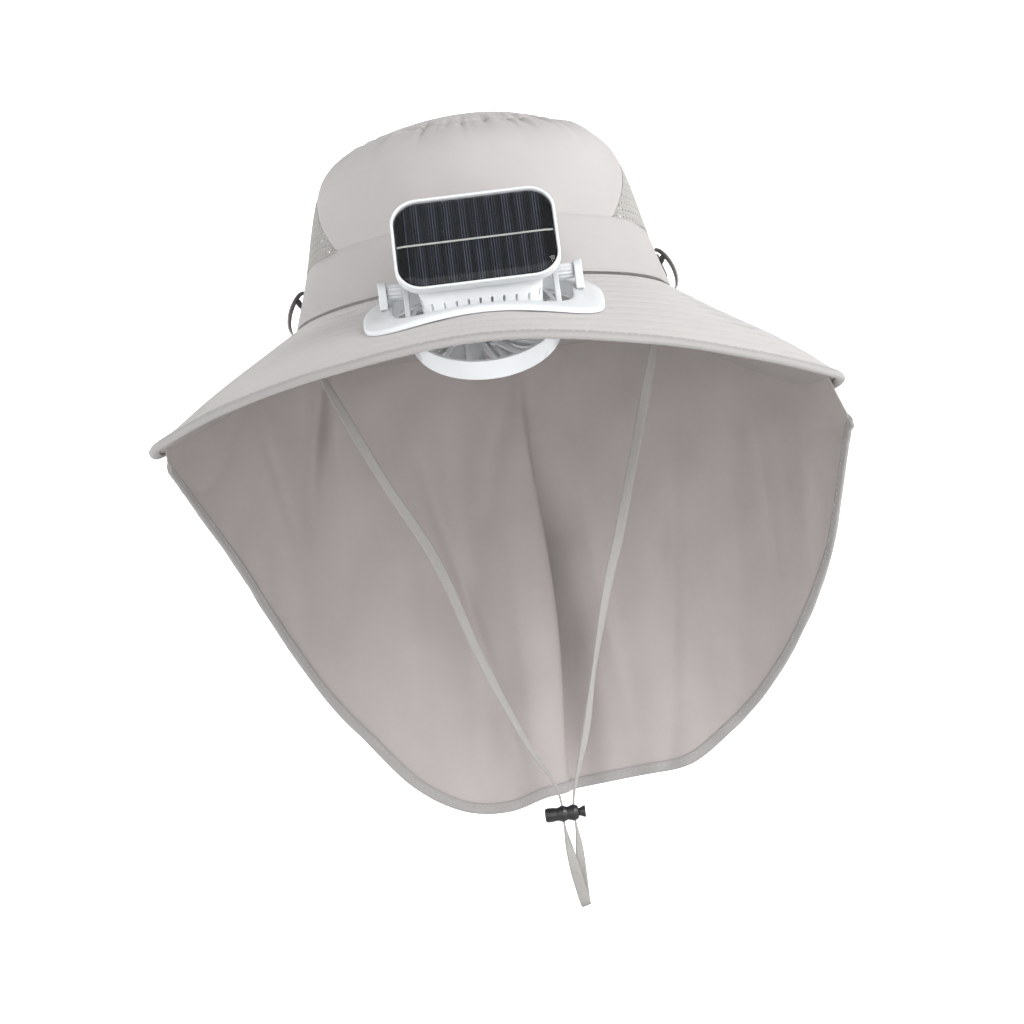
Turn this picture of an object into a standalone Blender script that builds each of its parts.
"""Solar fan hat: bucket crown, wide brim, neck flap, chin strap and a tilting fan head.

Metres, +Z up. The origin is the centre of the head opening, in the plane of the
seam between crown and brim. The front of the hat faces -Y.
"""
import math

import bmesh
import bpy
import numpy as np
from mathutils import Matrix, Vector

# Gap between pieces that touch, and the running clearance of pieces that move
GAP = 0.0003
RUNNING_GAP = 0.0004

# Step of the probes that work out a surface's slope
PROBE = 0.0001

# Crown
CROWN_WIDTH = 0.172
CROWN_LENGTH = 0.206
CROWN_HEIGHT = 0.0872
CROWN_WALL = 0.0016
BAND_HEIGHT = 0.0265
BAND_WALL = 0.0024
TIP_SEAM_HEIGHT = 0.0775
TIP_RINGS = (0.0, 0.16, 0.40, 0.72, 1.0)
GATHER_DEPTH = 0.0009
GATHER_REACH = 0.0061
GATHERS_PER_SIDE = 9
VENT_HEIGHT = 0.031
VENT_FRONT_ANGLE = 52.0
VENT_TOP_ANGLE = 80.0
VENT_WALL = 0.0010
VENT_SETBACK = 0.0003
VENT_STRAND = 0.0013
VENT_COLUMNS = 5
VENT_ROWS = 4

# Brim
BRIM_WIDTH = 0.3156
BRIM_FORWARD = 0.0770
BRIM_BACKWARD = 0.0200
BRIM_FRONT = CROWN_LENGTH / 2 + BRIM_FORWARD
BRIM_BACK = CROWN_LENGTH / 2 + BRIM_BACKWARD
BRIM_DROP = 0.0480
BRIM_BEND = 0.1
BRIM_WALL = 0.0026
BRIM_COLUMNS = 52
EDGE_WIDTH = 0.0042
EDGE_WALL = 0.0034

# Neck flap
FLAP_LENGTH = 0.226
FLAP_SPREAD = 92.0
FLAP_INSET = 0.0072
FLAP_WALL = 0.0012
FLAP_LEAN = 0.012
FLAP_FLARE = 0.009
FLARE_START = 0.7
FLARE_HEIGHT = 0.02
FOLD_START = 0.15
FOLD_FADE = 0.42
FLAP_COLUMNS = 38
FLAP_ROWS = 7
HEM_WIDTH = 0.0040
HEM_WALL = 0.0022

# Chin strap and cord lock
STRAP_WIDTH = 0.0046
STRAP_THICKNESS = 0.0010
STRAP_FOLDED = 0.50
STRAP_TOP = 0.0080
STRAP_STEPS = 56
TAIL_LENGTH = 0.0415
TAIL_BOW = 0.0018
LOCK_HEIGHT = -0.2290
LOCK_LEFT = -0.0005
LOCK_LENGTH = 0.0151
LOCK_RADIUS = 0.0032
LOCK_END_WALL = 0.0018
LOCK_BORE = 0.0025
STRAND_LEFT = 0.0076
STRAND_RIGHT = 0.0128
BUTTON_INSET = 0.0047
BUTTON_REACH = 0.0032
BUTTON_HEAD = 0.0028
LOCK_SIDES = 16
BUTTON_TRAVEL = 0.0018

# Size cord round the back of the crown, its tabs and its toggle
DRAWCORD_DIAMETER = 0.0026
DRAWCORD_HEIGHT = 0.0145
DRAWCORD_OVERLAP = 4.0
TAB_ANGLE = 92.0
TAB_WIDTH = 0.0090
TAB_WALL = 0.0012
TAB_HEIGHT = 0.0190
TAB_BULGE = 0.0044
TOGGLE_ANGLE = 104.0
TOGGLE_HEIGHT = 0.0110
TOGGLE_WIDTH = 0.0080
TOGGLE_WALL = 0.0011

# Frame on the brim
FRAME_LENGTH = 0.1000
FRAME_FORWARD = 0.0245
FRAME_Y = -CROWN_LENGTH / 2 - FRAME_FORWARD
FRAME_BAR = 0.0032
FRAME_WING = 0.0062
FRAME_WALL = 0.0026
FRAME_SQUARENESS = 3.0
FRAME_COLUMNS = 32
COLLAR_WALL = 0.0012
OPENING_LENGTH = 0.0750
OPENING_DEPTH = 0.0415
OPENING_SQUARENESS = 4.0
CLIP_WALL = 0.0018
CLIP_MARGIN = 0.0022
CLIP_SETBACK = 0.0012
POST_INNER = 0.0392
POST_WIDTH = 0.0034
POST_DEPTH = 0.0090
PIVOT_BACKWARD = 0.0055
PIVOT_Y = FRAME_Y + PIVOT_BACKWARD
PIVOT_Z = -0.0040
PIVOT_RADIUS = 0.0018
BARREL_RADIUS = 0.0034
BARREL_LENGTH = 0.0066
BARREL_FLUTES = 10
FLUTE_RADIUS = 0.0029

# Fan head, laid out from the pivot; both tilts are of the outward face's axis from upright
FAN_TILT = 42.0
FAN_RADIUS = 0.0310
FAN_DEPTH = 0.0090
FAN_FORWARD = 0.0225
FAN_BELOW = 0.0122
GUARD_WALL = 0.0016
GRILLE_WALL = 0.0014
GUARD_RIBS = 12
RIB_WIDTH = 0.0018
SPOKE_LINES = 3
HUB_RADIUS = 0.0070
SHAFT_RADIUS = 0.0014
ARM_WIDTH = 0.0022
BLADES = 7
BLADE_MIDDLE = 0.0170
BLADE_TIP_GAP = 0.0012
BLADE_SIDE_GAP = 0.0008
BLADE_WALL = 0.0026
BLADE_TWIST = 26.0
PANEL_TILT = 66.0
PANEL_LENGTH = 0.0684
PANEL_HEIGHT = 0.0440
PANEL_CORNER = 0.0115
PANEL_RIM = 0.0018
PANEL_BEVEL = 0.0008
BEVEL_DEPTH = 0.0006
PANEL_FORWARD = 0.0190
PANEL_Y = PIVOT_Y - PANEL_FORWARD
PANEL_Z = 0.0119
RIM_DEPTH = 0.0046
CELL_DEPTH = 0.0026
HOUSING_LENGTH = 0.0440
HOUSING_DEPTH = 0.0260
HOUSING_FORWARD = 0.0170
HOUSING_TOP_MARGIN = 0.0087

# Crown sections: height, half width and half length as shares of the crown's own
CROWN_SECTIONS = (
    {"height": 0.000, "width": 1.000, "length": 1.000},
    {"height": 0.155, "width": 0.950, "length": 0.957},
    {"height": 0.305, "width": 0.907, "length": 0.920},
    {"height": 0.525, "width": 0.856, "length": 0.872},
    {"height": 0.665, "width": 0.815, "length": 0.833},
    {"height": 0.745, "width": 0.778, "length": 0.797},
    {"height": 0.810, "width": 0.722, "length": 0.745},
    {"height": 0.870, "width": 0.632, "length": 0.660},
    {"height": 0.915, "width": 0.520, "length": 0.555},
    {"height": 0.962, "width": 0.360, "length": 0.395},
    {"height": 0.990, "width": 0.180, "length": 0.200},
    {"height": 1.000, "width": 0.000, "length": 0.000},
)

# How far the brim's edge drops, as a share of BRIM_DROP, by the angle from the front
BRIM_DROPS = (
    {"angle": -180.0, "drop": 0.00},
    {"angle": -155.0, "drop": 0.06},
    {"angle": -142.0, "drop": 0.16},
    {"angle": -132.0, "drop": 0.32},
    {"angle": -122.0, "drop": 0.54},
    {"angle": -110.0, "drop": 0.78},
    {"angle": -100.0, "drop": 0.90},
    {"angle": -90.0, "drop": 0.97},
    {"angle": -65.0, "drop": 1.01},
    {"angle": -45.0, "drop": 0.92},
    {"angle": -25.0, "drop": 0.81},
    {"angle": 0.0, "drop": 0.72},
    {"angle": 25.0, "drop": 0.87},
    {"angle": 45.0, "drop": 1.03},
    {"angle": 65.0, "drop": 1.11},
    {"angle": 90.0, "drop": 1.06},
    {"angle": 102.0, "drop": 1.05},
    {"angle": 110.0, "drop": 1.00},
    {"angle": 120.0, "drop": 0.83},
    {"angle": 128.0, "drop": 0.64},
    {"angle": 140.0, "drop": 0.32},
    {"angle": 155.0, "drop": 0.08},
    {"angle": 180.0, "drop": 0.00},
)

# Length of the flap below the brim, as a share of FLAP_LENGTH, from left tip to right tip
FLAP_LENGTHS = (
    {"across": -1.00, "length": 0.030},
    {"across": -0.93, "length": 0.044},
    {"across": -0.86, "length": 0.082},
    {"across": -0.77, "length": 0.160},
    {"across": -0.67, "length": 0.292},
    {"across": -0.54, "length": 0.534},
    {"across": -0.46, "length": 0.672},
    {"across": -0.38, "length": 0.778},
    {"across": -0.29, "length": 0.888},
    {"across": -0.19, "length": 0.954},
    {"across": -0.09, "length": 0.970},
    {"across": 0.02, "length": 0.948},
    {"across": 0.28, "length": 0.912},
    {"across": 0.35, "length": 0.888},
    {"across": 0.42, "length": 0.830},
    {"across": 0.50, "length": 0.746},
    {"across": 0.60, "length": 0.620},
    {"across": 0.76, "length": 0.414},
    {"across": 0.84, "length": 0.316},
    {"across": 0.95, "length": 0.136},
    {"across": 1.00, "length": 0.076},
)

# Folds of the flap: place and width across, depth, and where down its length it is deepest
FLAP_FOLDS = (
    {"across": 0.015, "width": 0.060, "depth": -0.0100, "deepest": 0.68},
    {"across": 0.095, "width": 0.045, "depth": 0.0120, "deepest": 0.66},
    {"across": -0.120, "width": 0.050, "depth": 0.0060, "deepest": 0.52},
    {"across": -0.260, "width": 0.070, "depth": -0.0045, "deepest": 0.60},
    {"across": -0.430, "width": 0.060, "depth": 0.0050, "deepest": 0.47},
    {"across": 0.300, "width": 0.090, "depth": -0.0045, "deepest": 0.66},
    {"across": 0.520, "width": 0.060, "depth": 0.0040, "deepest": 0.58},
    {"across": 0.740, "width": 0.050, "depth": -0.0035, "deepest": 0.50},
)

# Legs of the chin strap: place as shares of the way from the lock's strand out to its end and
# down from its end to the lock, turn of its flat side about its line, and share of its width
LEG_LEFT = (
    {"out": 1.000, "down": 0.000, "turn": 90.0, "width": 1.00},
    {"out": 1.006, "down": 0.042, "turn": 88.0, "width": 1.00},
    {"out": 0.965, "down": 0.110, "turn": 60.0, "width": 1.00},
    {"out": 0.884, "down": 0.184, "turn": 20.0, "width": 1.00},
    {"out": 0.702, "down": 0.335, "turn": -20.0, "width": 1.00},
    {"out": 0.489, "down": 0.494, "turn": 10.0, "width": 1.00},
    {"out": 0.318, "down": 0.692, "turn": 40.0, "width": 1.00},
    {"out": 0.143, "down": 0.857, "turn": 60.0, "width": 0.95},
    {"out": 0.030, "down": 0.937, "turn": 80.0, "width": 0.75},
    {"out": 0.000, "down": 0.983, "turn": 90.0, "width": STRAP_FOLDED},
    {"out": 0.000, "down": 1.017, "turn": 90.0, "width": STRAP_FOLDED},
)
LEG_RIGHT = (
    {"out": 1.000, "down": 0.000, "turn": -90.0, "width": 1.00},
    {"out": 1.008, "down": 0.042, "turn": -88.0, "width": 1.00},
    {"out": 0.945, "down": 0.110, "turn": -60.0, "width": 1.00},
    {"out": 0.834, "down": 0.211, "turn": -10.0, "width": 1.00},
    {"out": 0.700, "down": 0.329, "turn": 25.0, "width": 1.00},
    {"out": 0.534, "down": 0.477, "turn": 0.0, "width": 1.00},
    {"out": 0.408, "down": 0.578, "turn": -30.0, "width": 1.00},
    {"out": 0.255, "down": 0.726, "turn": -70.0, "width": 1.00},
    {"out": 0.144, "down": 0.848, "turn": -50.0, "width": 0.95},
    {"out": 0.040, "down": 0.937, "turn": -75.0, "width": 0.75},
    {"out": 0.000, "down": 0.983, "turn": -90.0, "width": STRAP_FOLDED},
    {"out": 0.000, "down": 1.017, "turn": -90.0, "width": STRAP_FOLDED},
)

# Tail loop of the strap below the lock: place as shares of the way from the left strand to
# the right one, of the tail's bow towards the back, and of its length
TAIL = (
    {"across": 0.17, "back": -0.55, "down": 0.337, "turn": 45.0, "width": 0.85},
    {"across": 0.50, "back": -1.00, "down": 0.650, "turn": 0.0, "width": 1.00},
    {"across": 0.92, "back": -0.90, "down": 0.940, "turn": 0.0, "width": 1.00},
    {"across": 1.06, "back": 0.00, "down": 1.000, "turn": 0.0, "width": 1.00},
    {"across": 1.00, "back": 0.90, "down": 0.940, "turn": 0.0, "width": 1.00},
    {"across": 1.00, "back": 1.00, "down": 0.650, "turn": 0.0, "width": 1.00},
    {"across": 1.06, "back": 0.55, "down": 0.337, "turn": -45.0, "width": 0.85},
)

# Outline of the lock's barrel: share along it and share of its radius
LOCK_PROFILE = (
    {"along": 0.00, "radius": 0.80},
    {"along": 0.06, "radius": 1.00},
    {"along": 0.24, "radius": 1.00},
    {"along": 0.38, "radius": 0.93},
    {"along": 0.53, "radius": 1.17},
    {"along": 0.68, "radius": 0.95},
    {"along": 0.86, "radius": 1.17},
    {"along": 1.00, "radius": 0.88},
)

# Outline of the lock's button outside the barrel: share of its reach and of its head
BUTTON_PROFILE = (
    {"along": 0.35, "radius": 0.72},
    {"along": 0.65, "radius": 0.88},
    {"along": 1.00, "radius": 1.00},
)

# Arms of the fan's guard: where they bend and end, forward and above the pivot, as shares
# of the fan's distance forward and of its distance below
GUARD_ARMS = (
    {"bend_forward": 0.02, "bend_up": -0.62, "end_forward": 0.66, "end_up": -0.72},
    {"bend_forward": 0.62, "bend_up": 0.42, "end_forward": 1.20, "end_up": -0.60},
)


def clear_scene():
    """Remove what the scene holds before modelling."""
    for obj in list(bpy.data.objects):
        bpy.data.objects.remove(obj, do_unlink=True)


def material(name, colour, roughness, metallic=0.0):
    """Principled material of one colour, given in linear light."""
    made = bpy.data.materials.new(name)
    made.use_nodes = True
    shader = made.node_tree.nodes["Principled BSDF"]
    shader.inputs["Base Color"].default_value = (*colour, 1.0)
    shader.inputs["Roughness"].default_value = roughness
    shader.inputs["Metallic"].default_value = metallic
    return made


def add_object(name, bm, look, crease=40.0):
    """Object from a bmesh, facing out and smooth where it turns less than the crease."""
    bmesh.ops.remove_doubles(bm, verts=bm.verts, dist=1e-7)
    bmesh.ops.recalc_face_normals(bm, faces=bm.faces)
    mesh = bpy.data.meshes.new(name)
    bm.to_mesh(mesh)
    bm.free()
    mesh.shade_smooth()
    mesh.set_sharp_from_angle(angle=math.radians(crease))
    mesh.materials.append(look)
    obj = bpy.data.objects.new(name, mesh)
    bpy.context.scene.collection.objects.link(obj)
    return obj


def blocks(counts, place, solid, wrap=False):
    """Closed bmesh of a grid of blocks: place(i, j, k) puts its corners, solid(i, j, k) keeps it."""
    bm = bmesh.new()
    corners = {}
    columns = counts[0]

    def corner(i, j, k):
        key = (i % columns if wrap else i, j, k)
        if key not in corners:
            corners[key] = bm.verts.new(place(*key))
        return corners[key]

    def kept(i, j, k):
        if wrap:
            i %= columns
        inside = 0 <= i < counts[0] and 0 <= j < counts[1] and 0 <= k < counts[2]
        return inside and solid(i, j, k)

    sides = (
        ((1, 0, 0), ((1, 0, 0), (1, 1, 0), (1, 1, 1), (1, 0, 1))),
        ((-1, 0, 0), ((0, 0, 0), (0, 0, 1), (0, 1, 1), (0, 1, 0))),
        ((0, 1, 0), ((0, 1, 0), (0, 1, 1), (1, 1, 1), (1, 1, 0))),
        ((0, -1, 0), ((0, 0, 0), (1, 0, 0), (1, 0, 1), (0, 0, 1))),
        ((0, 0, 1), ((0, 0, 1), (1, 0, 1), (1, 1, 1), (0, 1, 1))),
        ((0, 0, -1), ((0, 0, 0), (0, 1, 0), (1, 1, 0), (1, 0, 0))),
    )
    for i in range(counts[0]):
        for j in range(counts[1]):
            for k in range(counts[2]):
                if not kept(i, j, k):
                    continue
                for step, around in sides:
                    if kept(i + step[0], j + step[1], k + step[2]):
                        continue
                    bm.faces.new([corner(i + a, j + b, k + c) for a, b, c in around])
    bmesh.ops.remove_doubles(bm, verts=bm.verts, dist=1e-7)
    return bm


def everywhere(i, j, k):
    """Keep every block."""
    return True


def spread(low, high, count):
    """Evenly spaced values from low to high."""
    return [low + (high - low) * n / count for n in range(count + 1)]


def read_table(rows, key, column, at):
    """Smooth value of a column of a table where its key column has the given value."""
    keys = [row[key] for row in rows]
    at = min(max(at, keys[0]), keys[-1])
    n = max(0, min(len(rows) - 2, int(np.searchsorted(keys, at)) - 1))
    before = rows[max(n - 1, 0)]
    first = rows[n]
    second = rows[n + 1]
    after = rows[min(n + 2, len(rows) - 1)]
    span = second[key] - first[key]
    t = (at - first[key]) / span
    slope_a = (second[column] - before[column]) / (second[key] - before[key]) * span
    slope_b = (after[column] - first[column]) / (after[key] - first[key]) * span
    a = first[column]
    b = second[column]
    return (a * (2 * t**3 - 3 * t**2 + 1) + slope_a * (t**3 - 2 * t**2 + t)
            + b * (3 * t**2 - 2 * t**3) + slope_b * (t**3 - t**2))


def below(surface, u, v, depth):
    """Point at a depth under a surface point, measured square to the surface."""
    here = surface(u, v)
    if depth == 0.0:
        return here
    along = surface(u + PROBE, v) - surface(u - PROBE, v)
    down = surface(u, v + PROBE) - surface(u, v - PROBE)
    normal = along.cross(down)
    if normal.length < 1e-14:
        return here - Vector((0.0, 0.0, depth))
    return here + normal.normalized() * depth


# Crown


def crown_height_share(height):
    """Share along the crown's table where the crown has the given height."""
    return height / CROWN_HEIGHT


def gather(angle, share):
    """How far the cloth is puckered in next to the tip seam."""
    seam = crown_height_share(TIP_SEAM_HEIGHT)
    nearness = math.exp(-((share - seam) / crown_height_share(GATHER_REACH)) ** 2)
    return GATHER_DEPTH * nearness * 0.5 * (1.0 - math.cos(2.0 * GATHERS_PER_SIDE * angle))


def crown_point(angle, share):
    """Outer surface of the crown: angle from the front in radians, share of its height."""
    share = min(max(share, 0.0), 1.0)
    width = read_table(CROWN_SECTIONS, "height", "width", share)
    length = read_table(CROWN_SECTIONS, "height", "length", share)
    inward = gather(angle, share) * min(1.0, 2.0 * width)
    half_width = width * CROWN_WIDTH / 2 - inward
    half_length = length * CROWN_LENGTH / 2 - inward
    return Vector((half_width * math.sin(angle), -half_length * math.cos(angle),
                   share * CROWN_HEIGHT))


def crown_wall(angle, share, depth):
    """Point at a depth inside the crown: level with the surface point below the tip seam."""
    outside = crown_point(angle, share)
    if share > 0.985 or depth == 0.0:
        return outside - Vector((0.0, 0.0, depth))
    inward = below(crown_point, angle, share, -1.0) - outside
    level = Vector((inward.x, inward.y, 0.0))
    level /= level.length_squared
    seam = crown_height_share(TIP_SEAM_HEIGHT)
    blend = max(0.0, share - seam) / (1.0 - seam)
    return outside + level.lerp(inward, blend) * depth


def vent_angle(share):
    """Angle from the front of the vent's front edge, or of the side seam above it."""
    low = crown_height_share(BAND_HEIGHT)
    high = crown_height_share(BAND_HEIGHT + VENT_HEIGHT)
    if share > high + crown_height_share(GAP):
        return 90.0
    return VENT_FRONT_ANGLE + (VENT_TOP_ANGLE - VENT_FRONT_ANGLE) * (share - low) / (high - low)


def gap_angle(share):
    """Half a seam's gap at a height, as an angle in radians."""
    half_width = read_table(CROWN_SECTIONS, "height", "width", share) * CROWN_WIDTH / 2
    return 0.5 * GAP / half_width


def crown_panel(name, look, middle):
    """Front or back panel of the crown, from the band to the tip seam."""
    vent_top = BAND_HEIGHT + VENT_HEIGHT
    beside_vent = spread(BAND_HEIGHT + GAP, vent_top, 2)
    above_vent = spread(vent_top + 2 * GAP, TIP_SEAM_HEIGHT - GAP / 2, 5)
    heights = beside_vent + above_vent
    across = spread(-1.0, 1.0, 20)

    def place(i, j, k):
        share = crown_height_share(heights[j])
        reach = math.radians(vent_angle(share)) - gap_angle(share)
        return crown_wall(middle + across[i] * reach, share, k * CROWN_WALL)

    return add_object(name, blocks((len(across) - 1, len(heights) - 1, 1), place, everywhere), look)


def crown_tip(look):
    """Domed oval top of the crown, gathered into its seam."""
    low = crown_height_share(TIP_SEAM_HEIGHT + GAP / 2)
    shares = [low + (1.0 - low) * ring for ring in TIP_RINGS]
    columns = 36

    def place(i, j, k):
        return crown_wall(2 * math.pi * i / columns, shares[j], k * CROWN_WALL)

    bm = blocks((columns, len(shares) - 1, 1), place, everywhere, wrap=True)
    return add_object("crown_tip", bm, look)


def crown_band(look):
    """Band at the foot of the crown, standing on the brim."""
    heights = spread(GAP, BAND_HEIGHT, 2)
    columns = 40

    def place(i, j, k):
        share = crown_height_share(heights[j])
        return crown_wall(2 * math.pi * i / columns, share, k * BAND_WALL)

    bm = blocks((columns, len(heights) - 1, 1), place, everywhere, wrap=True)
    return add_object("crown_band", bm, look)


def mesh_vent(name, look, side):
    """Net vent in the crown's side, cut through in rows of gaps."""
    columns = VENT_COLUMNS * 2 + 1
    rows = VENT_ROWS * 2 + 1
    low = BAND_HEIGHT + GAP
    high = BAND_HEIGHT + VENT_HEIGHT - GAP
    pitch = (high - low - VENT_STRAND) / VENT_ROWS

    def place(i, j, k):
        height = low + (j // 2) * pitch + (j % 2) * VENT_STRAND
        share = crown_height_share(height)
        edge = math.radians(vent_angle(share)) + gap_angle(share)
        half_width = read_table(CROWN_SECTIONS, "height", "width", share) * CROWN_WIDTH / 2
        reach = math.pi / 2 - edge
        strand = VENT_STRAND / half_width
        step = (2 * reach - strand) / VENT_COLUMNS
        angle = edge + (i // 2) * step + (i % 2) * strand
        return crown_wall(side * angle, share, VENT_SETBACK + k * VENT_WALL)

    def solid(i, j, k):
        return i % 2 == 0 or j % 2 == 0

    return add_object(name, blocks((columns, rows, 1), place, solid), look)


# Brim


def brim_point(angle, share):
    """Top surface of the brim: angle from the front in radians, share from crown to edge."""
    front = math.cos(angle) > 0.0
    inner_x = CROWN_WIDTH / 2 - BAND_WALL
    inner_y = CROWN_LENGTH / 2 - BAND_WALL
    outer_y = BRIM_FRONT if front else BRIM_BACK
    half_x = inner_x + (BRIM_WIDTH / 2 - inner_x) * share
    half_y = inner_y + (outer_y - inner_y) * share
    turned = math.degrees(math.atan2(math.sin(angle), math.cos(angle)))
    drop = BRIM_DROP * read_table(BRIM_DROPS, "angle", "drop", turned)
    fall = (1.0 - BRIM_BEND) * share + BRIM_BEND * share * abs(share)
    return Vector((half_x * math.sin(angle), -half_y * math.cos(angle), -drop * fall))


def brim_wall(angle, share, depth):
    """Point at a depth under the brim's top surface."""
    return below(brim_point, angle, share, depth)


def brim_share(distance, angle):
    """Share of the brim's slope that a distance in from its edge stands for."""
    slope = (brim_point(angle, 1.0) - brim_point(angle, 0.0)).length
    return 1.0 - distance / slope


def brim_height(x, y):
    """Height of the brim's top surface over a place in plan."""
    low = -0.5
    high = 1.5
    for _ in range(34):
        share = 0.5 * (low + high)
        half_x = CROWN_WIDTH / 2 - BAND_WALL
        half_x += (BRIM_WIDTH / 2 - half_x) * share
        half_y = CROWN_LENGTH / 2 - BAND_WALL
        half_y += ((BRIM_FRONT if y < 0.0 else BRIM_BACK) - half_y) * share
        if (x / half_x) ** 2 + (y / half_y) ** 2 > 1.0:
            low = share
        else:
            high = share
    return brim_point(math.atan2(x / half_x, -y / half_y), share).z


def cut(target, cutter):
    """Subtract a cutter, which stays in the file as a hidden guide."""
    cutter.hide_render = True
    cutter.display_type = "WIRE"
    step = target.modifiers.new("cut", "BOOLEAN")
    step.operation = "DIFFERENCE"
    step.solver = "EXACT"
    step.object = cutter


def join(target, tool):
    """Fuse another shape into the target, keeping the tool as a hidden guide."""
    tool.hide_render = True
    tool.display_type = "WIRE"
    step = target.modifiers.new("join", "BOOLEAN")
    step.operation = "UNION"
    step.solver = "EXACT"
    step.object = tool


def opening_outline(turn, margin):
    """Rounded opening of the frame in plan, made larger by a margin."""
    half_x = OPENING_LENGTH / 2 + margin
    half_y = OPENING_DEPTH / 2 + margin
    return rounded(turn, half_x, half_y, OPENING_SQUARENESS)


def rounded(turn, half_x, half_y, power):
    """Point of an outline between an ellipse (power 2) and a rectangle (high power)."""
    cosine = math.cos(turn)
    sine = math.sin(turn)
    x = half_x * math.copysign(abs(cosine) ** (2.0 / power), cosine)
    y = half_y * math.copysign(abs(sine) ** (2.0 / power), sine)
    return x, y


def brim(look, guide):
    """Stiff sloping brim with the opening that the fan hangs in."""
    shares = spread(0.0, 1.0, 4)

    def place(i, j, k):
        angle = 2 * math.pi * i / BRIM_COLUMNS
        share = shares[j] * brim_share(EDGE_WIDTH + GAP, angle)
        return brim_wall(angle, share, k * BRIM_WALL)

    bm = blocks((BRIM_COLUMNS, len(shares) - 1, 1), place, everywhere, wrap=True)
    made = add_object("brim", bm, look)
    cut(made, opening_cutter(guide))
    return made


def opening_cutter(guide):
    """Upright prism of the brim's opening."""

    def place(i, j, k):
        x, y = opening_outline(2 * math.pi * i / FRAME_COLUMNS, COLLAR_WALL + GAP)
        return Vector((x * j, FRAME_Y + y * j, -BRIM_DROP if k else BRIM_DROP))

    bm = blocks((FRAME_COLUMNS, 1, 1), place, everywhere, wrap=True)
    return add_object("opening_cutter", bm, guide)


def brim_edge(look):
    """Folded edge of the brim, thicker than the brim itself."""
    lift = (EDGE_WALL - BRIM_WALL) / 2

    def place(i, j, k):
        angle = 2 * math.pi * i / BRIM_COLUMNS
        start = brim_share(EDGE_WIDTH, angle)
        share = start + (1.0 - start) * j / 2
        rounding = lift if j == 2 else 0.0
        depth = -lift + rounding + k * (EDGE_WALL - 2 * rounding)
        return brim_wall(angle, share, depth)

    bm = blocks((BRIM_COLUMNS, 2, 1), place, everywhere, wrap=True)
    return add_object("brim_edge", bm, look)


# Neck flap


def flap_fold(across, down):
    """Depth of the flap's folds, towards the back, at a share across and down."""
    total = 0.0
    for row in FLAP_FOLDS:
        place = math.exp(-((across - row["across"]) / row["width"]) ** 2)
        fade = math.exp(-((down - row["deepest"]) / FOLD_FADE) ** 2)
        total += row["depth"] * place * fade * min(1.0, down / FOLD_START)
    return total


def flap_top(across):
    """Point under the brim that the flap hangs from, low enough for the flap's own wall."""
    angle = math.pi - across * math.radians(FLAP_SPREAD)
    share = brim_share(FLAP_INSET, angle)
    top = brim_wall(angle, share, BRIM_WALL + 2 * GAP)
    slope = brim_point(angle, 1.0) - brim_point(angle, 0.0)
    steepness = abs(slope.z) / math.hypot(slope.x, slope.y)
    return top - Vector((0.0, 0.0, (FLAP_WALL + GAP) * steepness))


def flap_point(across, down):
    """Inner surface of the flap: share across from left to right, share down to the hem."""
    across = min(max(across, -1.0), 1.0)
    top = flap_top(across)
    length = FLAP_LENGTH * read_table(FLAP_LENGTHS, "across", "length", across)
    hang = length * down
    inward = FLAP_LEAN * hang / FLAP_LENGTH
    flare = FLAP_FLARE * max(0.0, (across - FLARE_START) / (1.0 - FLARE_START)) ** 2
    flare *= min(1.0, hang / FLARE_HEIGHT)
    middle = Vector((0.0, 0.0, top.z))
    out = (top - middle).normalized()
    spot = top - out * inward
    spot.z = top.z - hang
    spot.x += flare
    spot.y += flap_fold(across, down)
    return spot


def flap_columns():
    """Shares across of the flap's columns, closer together at the middle and both tips."""
    crowding = 0.4
    wave = 2 * math.pi
    return [s - crowding * math.sin(wave * s) / wave for s in spread(-1.0, 1.0, FLAP_COLUMNS)]


def flap_skin(across, down, depth):
    """Point at a depth behind the flap's inner surface."""
    inside = min(max(across, -0.999), 0.999)
    return below(flap_point, inside, down, depth) + flap_point(across, down) - flap_point(inside, down)


def neck_flap(look):
    """Flap hanging from under the brim, from side to side round the back."""
    across = flap_columns()

    def place(i, j, k):
        return flap_skin(across[i], j / FLAP_ROWS, k * FLAP_WALL)

    bm = blocks((FLAP_COLUMNS, FLAP_ROWS, 1), place, everywhere)
    return add_object("neck_flap", bm, look, 60.0)


def flap_hem(look):
    """Bound hem along the flap's free edge."""
    across = flap_columns()
    lift = (HEM_WALL - FLAP_WALL) / 2

    def place(i, j, k):
        here = flap_skin(across[i], 1.0, 0.0)
        back = flap_skin(across[i], 1.0, 1.0) - here
        before = flap_skin(across[max(i - 1, 0)], 1.0, 0.0)
        after = flap_skin(across[min(i + 1, len(across) - 1)], 1.0, 0.0)
        away = back.cross(after - before).normalized()
        if away.z > 0.0:
            away = -away
        start = here + away * (GAP + j * HEM_WIDTH)
        return start + back.normalized() * (k * HEM_WALL - lift)

    return add_object("flap_hem", blocks((FLAP_COLUMNS, 1, 1), place, everywhere), look, 60.0)


# Chin strap, lock and drawcord


def strap_leg(rows, side, strand):
    """Points of one leg from its end on the band down to the lock: x, y, z, turn and width."""
    against = BAND_WALL + GAP + STRAP_THICKNESS / 2
    end = crown_wall(side * math.pi / 2, crown_height_share(STRAP_TOP), against)
    return [(strand + (end.x - strand) * row["out"], 0.0,
             STRAP_TOP + (LOCK_HEIGHT - STRAP_TOP) * row["down"], row["turn"], row["width"])
            for row in rows]


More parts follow.
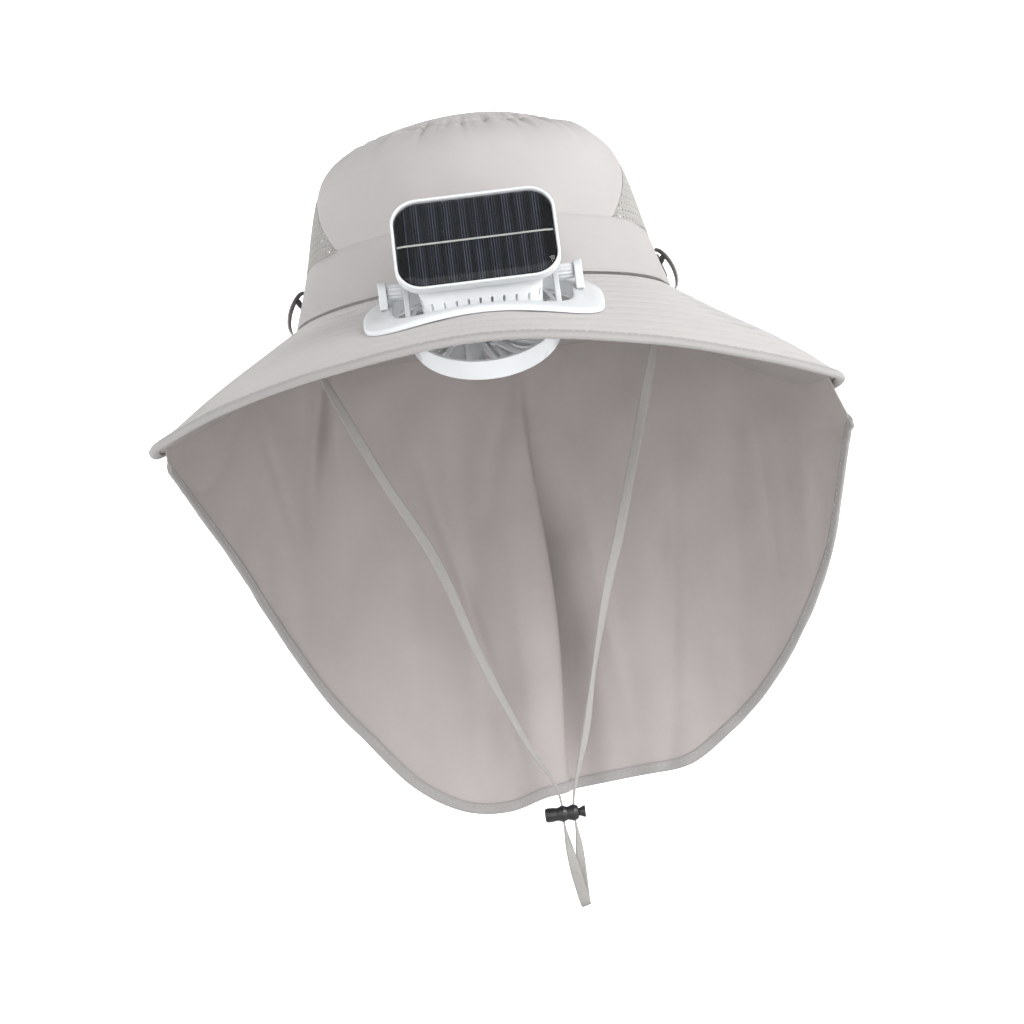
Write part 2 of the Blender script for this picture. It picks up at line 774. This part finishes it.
def strap_route():
    """Points of the whole strap: left leg, tail loop and right leg."""
    tail = [(STRAND_LEFT + (STRAND_RIGHT - STRAND_LEFT) * row["across"], TAIL_BOW * row["back"],
             LOCK_HEIGHT - TAIL_LENGTH * row["down"], row["turn"], row["width"]) for row in TAIL]
    right = strap_leg(LEG_RIGHT, 1, STRAND_RIGHT)
    return strap_leg(LEG_LEFT, -1, STRAND_LEFT) + tail + right[::-1]


def smooth_route(points, steps):
    """Points read at even lengths from a smooth curve through a route's own points."""
    points = np.array(points)
    padded = np.vstack([2 * points[0] - points[1], points, 2 * points[-1] - points[-2]])
    fine = []
    for n in range(len(points) - 1):
        a, b, c, d = padded[n:n + 4]
        for s in range(12):
            t = s / 12
            fine.append(0.5 * (2 * b + (c - a) * t + (2 * a - 5 * b + 4 * c - d) * t**2
                               + (3 * b - a - 3 * c + d) * t**3))
    fine.append(points[-1])
    fine = np.array(fine)
    run = np.concatenate([[0.0], np.cumsum(np.linalg.norm(np.diff(fine[:, :3], axis=0), axis=1))])
    wanted = np.linspace(0.0, run[-1], steps + 1)
    return np.array([[np.interp(w, run, fine[:, c]) for c in range(fine.shape[1])] for w in wanted])


def ribbon_stations(route):
    """Centre, half width vector and half thickness vector of the strap at each step."""
    stations = []
    side = Vector((1.0, 0.0, 0.0))
    for j, row in enumerate(route):
        before = route[max(j - 1, 0)]
        after = route[min(j + 1, len(route) - 1)]
        along = Vector(after[:3] - before[:3]).normalized()
        side = (side - along * side.dot(along)).normalized()
        level = along.cross(Vector((0.0, 1.0, 0.0)))
        if level.length > 0.3:
            side = level.normalized() if level.dot(side) > 0.0 else -level.normalized()
        turn = math.radians(row[3])
        turned = side * math.cos(turn) + side.cross(along) * math.sin(turn)
        half_width = turned * (STRAP_WIDTH / 2 * row[4])
        half_thickness = along.cross(turned) * (STRAP_THICKNESS / 2)
        stations.append((Vector(row[:3]), half_width, half_thickness))
    return stations


def chin_strap(look):
    """Flat strap: left leg, tail loop below the lock and right leg in one piece."""
    stations = ribbon_stations(smooth_route(strap_route(), STRAP_STEPS))
    corners = ((-1, -1), (1, -1), (1, 1), (-1, 1))

    def place(i, j, k):
        centre, half_width, half_thickness = stations[j]
        across, thick = corners[i]
        return centre + (half_width * across + half_thickness * thick) * k

    bm = blocks((4, STRAP_STEPS, 1), place, everywhere, wrap=True)
    return add_object("chin_strap", bm, look, 50.0)


def turned_solid(stations, radii, bore, sides, axis_point):
    """Closed bmesh turned about an axis along X: stations along it, radii there, and its bore."""

    def place(i, j, k):
        turn = 2 * math.pi * i / sides
        radius = radii[j] if k else bore
        return axis_point + Vector((stations[j], radius * math.sin(turn), radius * math.cos(turn)))

    return blocks((sides, len(stations) - 1, 1), place, everywhere, wrap=True)


def box_solid(low, high):
    """Closed bmesh of an upright box between two corners."""

    def place(i, j, k):
        return Vector((high[0] if i else low[0], high[1] if j else low[1], high[2] if k else low[2]))

    return blocks((1, 1, 1), place, everywhere)


def strap_slot():
    """Size of the slot that one strand of the strap passes, along the lock and across it."""
    return STRAP_THICKNESS + 2 * GAP, STRAP_WIDTH * STRAP_FOLDED + 2 * GAP


def lock_barrel(look, guide):
    """Barrel of the cord lock: bored from its right end, slotted for both strands."""
    along = [row["along"] * LOCK_LENGTH for row in LOCK_PROFILE]
    radii = [row["radius"] * LOCK_RADIUS for row in LOCK_PROFILE]
    start = Vector((LOCK_LEFT, 0.0, LOCK_HEIGHT))
    made = add_object("lock_barrel", turned_solid(along, radii, 0.0, LOCK_SIDES, start), look)
    bore_ends = [LOCK_END_WALL, LOCK_LENGTH + GAP]
    bore = turned_solid(bore_ends, [LOCK_BORE, LOCK_BORE], 0.0, LOCK_SIDES, start)
    cut(made, add_object("lock_bore_cutter", bore, guide))
    long, wide = strap_slot()
    reach = LOCK_RADIUS * 2
    for name, x in (("left", STRAND_LEFT), ("right", STRAND_RIGHT)):
        slot = box_solid((x - long / 2, -wide / 2, LOCK_HEIGHT - reach),
                         (x + long / 2, wide / 2, LOCK_HEIGHT + reach))
        cut(made, add_object("lock_slot_" + name, slot, guide))
    return made


def lock_button(look, guide):
    """Spring button of the lock, with one long slot that clears both strands as it moves."""
    origin = Vector((LOCK_LEFT + LOCK_LENGTH, 0.0, LOCK_HEIGHT))
    stem = LOCK_BORE - GAP
    inner = LOCK_LEFT + BUTTON_INSET - origin.x
    stations = [inner, 0.0] + [row["along"] * BUTTON_REACH for row in BUTTON_PROFILE]
    radii = [stem, stem] + [row["radius"] * BUTTON_HEAD for row in BUTTON_PROFILE]
    solid = turned_solid(stations, radii, 0.0, LOCK_SIDES, Vector())
    made = add_object("lock_button", solid, look)
    long, wide = strap_slot()
    slot = box_solid((STRAND_LEFT - long / 2 - origin.x, -wide / 2, -LOCK_RADIUS * 2),
                     (STRAND_RIGHT + long / 2 + BUTTON_TRAVEL - origin.x, wide / 2, LOCK_RADIUS * 2))
    cutter = add_object("button_slot_cutter", slot, guide)
    made.location = origin
    cutter.location = origin
    cut(made, cutter)
    return made


def beside_crown(angle, height, distance):
    """Point a distance outside the crown's band, level with the given height."""
    return crown_wall(math.radians(angle), crown_height_share(height), -distance)


def drawcord(look):
    """Elastic cord that sizes the hat, lying round the back of the band."""
    sides = 8
    steps = 32
    radius = DRAWCORD_DIAMETER / 2
    start = TAB_ANGLE - DRAWCORD_OVERLAP
    centre = [beside_crown(start + (360.0 - 2 * start) * j / steps, DRAWCORD_HEIGHT, radius + GAP)
              for j in range(steps + 1)]

    def place(i, j, k):
        along = (centre[min(j + 1, steps)] - centre[max(j - 1, 0)]).normalized()
        out = along.cross(Vector((0.0, 0.0, 1.0))).normalized()
        turn = 2 * math.pi * i / sides
        return centre[j] + (out * math.cos(turn) + Vector((0.0, 0.0, math.sin(turn)))) * radius * k

    return add_object("drawcord", blocks((sides, steps, 1), place, everywhere, wrap=True), look)


def cord_tab(name, look, side):
    """Cloth tab standing off the band, with the size cord passing behind it."""
    steps = 8
    half = math.degrees(TAB_WIDTH / CROWN_WIDTH)

    def place(i, j, k):
        angle = side * (TAB_ANGLE + (2 * i - 1) * half)
        share = j / steps
        stand = TAB_BULGE * math.sqrt(math.sin(math.pi * share)) if 0 < j < steps else 0.0
        return beside_crown(angle, 2 * GAP + TAB_HEIGHT * share, GAP + stand + k * TAB_WALL)

    return add_object(name, blocks((1, steps, 1), place, everywhere), look)


def cord_toggle(look):
    """Small plastic toggle clipped over the size cord, at the right of the crown."""
    half = math.degrees(TOGGLE_WIDTH / CROWN_WIDTH)
    slot = DRAWCORD_DIAMETER / 2 + GAP
    levels = (-TOGGLE_HEIGHT / 2, -slot, slot, TOGGLE_HEIGHT / 2)
    distances = (GAP, 2 * slot + GAP, 2 * slot + GAP + TOGGLE_WALL)

    def place(i, j, k):
        angle = TOGGLE_ANGLE + (2 * i - 1) * half
        return beside_crown(angle, DRAWCORD_HEIGHT + levels[j], distances[k])

    def solid(i, j, k):
        return j != 1 or k == 1

    return add_object("cord_toggle", blocks((1, 3, 2), place, solid), look)


# Frame on the brim


def frame_outline(turn, level, margin):
    """Outline of the frame in plan: 0 opening, 1 collar, 2 outer edge with its wings."""
    if level < 2:
        return opening_outline(turn, margin + level * COLLAR_WALL)
    half_x = FRAME_LENGTH / 2 + margin
    x, y = rounded(turn, half_x, 1.0, FRAME_SQUARENESS)
    half_y = OPENING_DEPTH / 2 + FRAME_BAR + FRAME_WING * (x / half_x) ** 2 + margin
    return x, y * half_y


def wall_under(x, y):
    """Upright thickness of the sloping brim at a place in plan."""
    here = brim_height(x, y)
    slope_x = (brim_height(x + PROBE, y) - here) / PROBE
    slope_y = (brim_height(x, y + PROBE) - here) / PROBE
    return BRIM_WALL * math.sqrt(1.0 + slope_x**2 + slope_y**2)


def frame_plate(look, guide):
    """White frame on the brim: winged plate, collar through the brim and two pivot posts."""

    def place(i, j, k):
        x, y = frame_outline(2 * math.pi * i / FRAME_COLUMNS, j, 0.0)
        y += FRAME_Y
        top = brim_height(x, y) + GAP
        if k == 0:
            return Vector((x, y, top - GAP - wall_under(x, y)))
        return Vector((x, y, top + (k - 1) * FRAME_WALL))

    def solid(i, j, k):
        return j == 0 or k == 1

    bm = blocks((FRAME_COLUMNS, 2, 2), place, solid, wrap=True)
    made = add_object("frame_plate", bm, look)
    join(made, pivot_post("post_left", guide, -1))
    join(made, pivot_post("post_right", guide, 1))
    return made


def pivot_post(name, look, side):
    """Upright post with a round top and a bore for the head's pivot pin."""
    columns = 20
    bore = PIVOT_RADIUS + GAP
    near = side * POST_INNER
    far = side * (POST_INNER + POST_WIDTH)
    foot = PIVOT_Z - brim_height(near, PIVOT_Y) - GAP - FRAME_WALL / 2

    def place(i, j, k):
        turn = 2 * math.pi * i / columns
        cosine = math.cos(turn)
        sine = math.sin(turn)
        reach = bore
        if j:
            reach = POST_DEPTH / 2
            if sine < -1e-6:
                reach = min(POST_DEPTH / 2 / max(abs(cosine), 1e-6), foot / -sine)
        return Vector((far if k else near, PIVOT_Y + reach * cosine, PIVOT_Z + reach * sine))

    return add_object(name, blocks((columns, 1, 1), place, everywhere, wrap=True), look)


def frame_clip(look):
    """Ring under the brim that clamps the frame."""

    def place(i, j, k):
        margin = CLIP_MARGIN if j else CLIP_SETBACK
        x, y = frame_outline(2 * math.pi * i / FRAME_COLUMNS, 2 * j, margin)
        y += FRAME_Y
        under = brim_height(x, y) - wall_under(x, y) - GAP
        return Vector((x, y, under - k * CLIP_WALL))

    bm = blocks((FRAME_COLUMNS, 1, 1), place, everywhere, wrap=True)
    return add_object("frame_clip", bm, look)


# Fan head, in the pivot's own frame: X along the pivot, Y back and up, Z along the fan's axis


def head_pivot():
    """Empty on the pivot, tilted with the fan's axis."""
    empty = bpy.data.objects.new("head_pivot", None)
    bpy.context.scene.collection.objects.link(empty)
    empty.location = (0.0, PIVOT_Y, PIVOT_Z)
    empty.rotation_euler = (math.radians(FAN_TILT), 0.0, 0.0)
    return empty


def fan_centre():
    """Centre of the fan's lower grille in the pivot's frame."""
    return Vector((0.0, -FAN_FORWARD, -FAN_BELOW))


def spoke_turn(i, radius, count, width):
    """Angle of a spoke grid's line: the first two lines of a spoke run along its sides."""
    pitch = 2 * math.pi / count
    half = min(pitch / 4, 0.5 * width / radius if radius > 0.0 else pitch)
    spoke, line = divmod(i, SPOKE_LINES)
    if line == 0:
        return spoke * pitch - half
    return spoke * pitch + half + (pitch - 2 * half) * (line - 1) / (SPOKE_LINES - 1)


def fan_guard(look, guide, pivot):
    """Guard round the fan: band, two grilles, shaft, and the arms up to the pivot."""
    radii = [0.0, SHAFT_RADIUS, HUB_RADIUS, FAN_RADIUS - GUARD_WALL, FAN_RADIUS]
    heights = [0.0, GRILLE_WALL, FAN_DEPTH - GRILLE_WALL, FAN_DEPTH]
    centre = fan_centre()

    def place(i, j, k):
        turn = spoke_turn(i, radii[j], GUARD_RIBS, RIB_WIDTH)
        return centre + Vector((radii[j] * math.sin(turn), radii[j] * math.cos(turn), heights[k]))

    def solid(i, j, k):
        if j in (0, 3):
            return True
        return k != 1 and (j == 1 or i % SPOKE_LINES == 0)

    bm = blocks((GUARD_RIBS * SPOKE_LINES, 4, 3), place, solid, wrap=True)
    made = add_object("fan_guard", bm, look, 30.0)
    made.parent = pivot
    for side, name in ((-1, "left"), (1, "right")):
        for n, row in enumerate(GUARD_ARMS):
            arm = guard_arm("guard_arm_%s_%d" % (name, n), guide, side, row)
            arm.parent = pivot
            join(made, arm)
        barrel = pivot_barrel("pivot_barrel_" + name, guide, side)
        barrel.parent = pivot
        join(made, barrel)
    return made


def arm_plane():
    """Distance from the middle to the inner side of the guard's arms."""
    return POST_INNER - GAP - BARREL_LENGTH - ARM_WIDTH


def guard_arm(name, look, side, row):
    """Curved arm from the pivot down to the guard's band."""
    steps = 5
    bend = Vector((0.0, -FAN_FORWARD * row["bend_forward"], FAN_BELOW * row["bend_up"]))
    end = Vector((0.0, -FAN_FORWARD * row["end_forward"], FAN_BELOW * row["end_up"]))

    def place(i, j, k):
        t = i / steps
        middle = bend * (2 * t * (1 - t)) + end * t**2
        along = (bend * (2 - 4 * t) + end * (2 * t)).normalized()
        square = along.cross(Vector((1.0, 0.0, 0.0)))
        x = side * (arm_plane() + j * ARM_WIDTH)
        return Vector((x, 0.0, 0.0)) + middle + square * ARM_WIDTH * (k - 0.5)

    return add_object(name, blocks((steps, 1, 1), place, everywhere), look)


def pivot_barrel(name, look, side):
    """Fluted barrel beside the guard's arms, with the pin that turns in the post."""
    sides = BARREL_FLUTES * 2
    start = arm_plane() - GAP
    shoulder = POST_INNER - GAP
    tip = POST_INNER + POST_WIDTH - GAP
    stations = [start, shoulder, shoulder, tip]
    radii = [BARREL_RADIUS, BARREL_RADIUS, PIVOT_RADIUS, PIVOT_RADIUS]

    def place(i, j, k):
        turn = 2 * math.pi * i / sides
        radius = (FLUTE_RADIUS if i % 2 and j < 2 else radii[j]) * k
        return Vector((side * stations[j], radius * math.sin(turn), radius * math.cos(turn)))

    return add_object(name, blocks((sides, 3, 1), place, everywhere, wrap=True), look)


def fan_rotor(look, pivot):
    """Bladed rotor, hollow at its hub where it runs on the guard's shaft."""
    radii = [SHAFT_RADIUS + RUNNING_GAP, HUB_RADIUS - RUNNING_GAP, BLADE_MIDDLE,
             FAN_RADIUS - GUARD_WALL - BLADE_TIP_GAP]
    low = GRILLE_WALL + BLADE_SIDE_GAP
    high = FAN_DEPTH - low

    def place(i, j, k):
        turn = spoke_turn(i, radii[j], BLADES, BLADE_WALL)
        turn += math.radians(BLADE_TWIST) * (k - 0.5)
        return Vector((radii[j] * math.sin(turn), radii[j] * math.cos(turn), high if k else low))

    def solid(i, j, k):
        return j == 0 or i % SPOKE_LINES == 0

    bm = blocks((BLADES * SPOKE_LINES, 3, 1), place, solid, wrap=True)
    made = add_object("fan_rotor", bm, look, 30.0)
    made.parent = pivot
    made.location = fan_centre()
    return made


def panel_outline(turn_step, inset):
    """Rounded rectangle of the panel: 28 points, seven on each corner."""
    corner = PANEL_CORNER - inset
    quarter, n = divmod(turn_step, 7)
    turn = math.pi / 2 * (quarter + n / 6)
    x_side = (1, -1, -1, 1)[quarter]
    y_side = (1, 1, -1, -1)[quarter]
    x = x_side * (PANEL_LENGTH / 2 - PANEL_CORNER) + corner * math.cos(turn)
    y = y_side * (PANEL_HEIGHT / 2 - PANEL_CORNER) + corner * math.sin(turn)
    return x, y


def panel_place(x, y, depth):
    """Point of the panel in the pivot's frame: across, up its face, and depth behind it."""
    tip = Matrix.Rotation(math.radians(FAN_TILT), 3, "X").transposed()
    centre = tip @ Vector((0.0, PANEL_Y - PIVOT_Y, PANEL_Z - PIVOT_Z))
    turn = Matrix.Rotation(math.radians(PANEL_TILT - FAN_TILT), 3, "X")
    return centre + turn @ Vector((x, y, -depth))


def solar_rim(look, pivot):
    """White tray that frames the panel, closed at its back."""
    insets = (0.0, PANEL_RIM)
    depths = (0.0, CELL_DEPTH + GAP, RIM_DEPTH)

    def place(i, j, k):
        if j == 2:
            return panel_place(0.0, 0.0, depths[k])
        x, y = panel_outline(i, insets[j])
        return panel_place(x, y, depths[k])

    def solid(i, j, k):
        return j == 0 or k == 1

    made = add_object("solar_rim", blocks((28, 2, 2), place, solid, wrap=True), look, 30.0)
    made.parent = pivot
    return made


def solar_panel(look, pivot):
    """Dark panel lying in the rim, its edge bevelled."""
    edge = PANEL_RIM + GAP
    insets = (edge, edge, edge + PANEL_BEVEL)
    depths = (CELL_DEPTH, BEVEL_DEPTH, 0.0)

    def place(i, j, k):
        if k == 0:
            return panel_place(0.0, 0.0, depths[0] if j == 0 else depths[-1])
        x, y = panel_outline(i, insets[j])
        return panel_place(x, y, depths[j])

    made = add_object("solar_panel", blocks((28, 2, 1), place, everywhere, wrap=True), look, 30.0)
    made.parent = pivot
    return made


def fan_housing(look, pivot):
    """Tapered box between the fan's upper grille and the back of the panel."""
    base = FAN_DEPTH - FAN_BELOW + GAP

    def place(i, j, k):
        if k == 0:
            ring = Vector((0.0, -HOUSING_FORWARD, base))
            return ring if j == 0 else panel_place(0.0, 0.0, RIM_DEPTH + GAP)
        if j == 1:
            x, y = panel_outline(i, HOUSING_TOP_MARGIN)
            return panel_place(x, y, RIM_DEPTH + GAP)
        x, y = panel_outline(i, 0.0)
        return Vector((x * HOUSING_LENGTH / PANEL_LENGTH,
                       y * HOUSING_DEPTH / PANEL_HEIGHT - HOUSING_FORWARD, base))

    made = add_object("fan_housing", blocks((28, 1, 1), place, everywhere, wrap=True), look, 30.0)
    made.parent = pivot
    return made


def build():
    """Make every sub-part of the hat."""
    clear_scene()
    cloth = material("woven_cloth", (0.62, 0.59, 0.57), 0.9)
    band_cloth = material("band_cloth", (0.60, 0.57, 0.55), 0.9)
    net = material("net", (0.66, 0.64, 0.61), 0.8)
    binding = material("binding", (0.52, 0.49, 0.47), 0.9)
    flap_cloth = material("flap_cloth", (0.42, 0.37, 0.36), 0.95)
    webbing = material("webbing", (0.47, 0.44, 0.42), 0.8)
    black_plastic = material("black_plastic", (0.02, 0.02, 0.02), 0.45)
    elastic = material("elastic", (0.02, 0.02, 0.02), 0.8)
    white_plastic = material("white_plastic", (0.80, 0.82, 0.84), 0.4)
    blade_plastic = material("blade_plastic", (0.62, 0.62, 0.61), 0.4)
    cell = material("solar_cell", (0.012, 0.014, 0.03), 0.1)
    guide = material("guide", (0.8, 0.2, 0.2), 0.5)

    crown_band(band_cloth)
    crown_panel("crown_front", cloth, 0.0)
    crown_panel("crown_back", cloth, math.pi)
    crown_tip(cloth)
    mesh_vent("mesh_left", net, -1)
    mesh_vent("mesh_right", net, 1)
    brim(cloth, guide)
    brim_edge(binding)
    neck_flap(flap_cloth)
    flap_hem(binding)
    chin_strap(webbing)
    lock_barrel(black_plastic, guide)
    lock_button(black_plastic, guide)
    drawcord(elastic)
    cord_tab("tab_left", band_cloth, -1)
    cord_tab("tab_right", band_cloth, 1)
    cord_toggle(black_plastic)
    frame_plate(white_plastic, guide)
    frame_clip(white_plastic)
    pivot = head_pivot()
    fan_guard(white_plastic, guide, pivot)
    fan_rotor(blade_plastic, pivot)
    solar_rim(white_plastic, pivot)
    solar_panel(cell, pivot)
    fan_housing(white_plastic, pivot)


build()
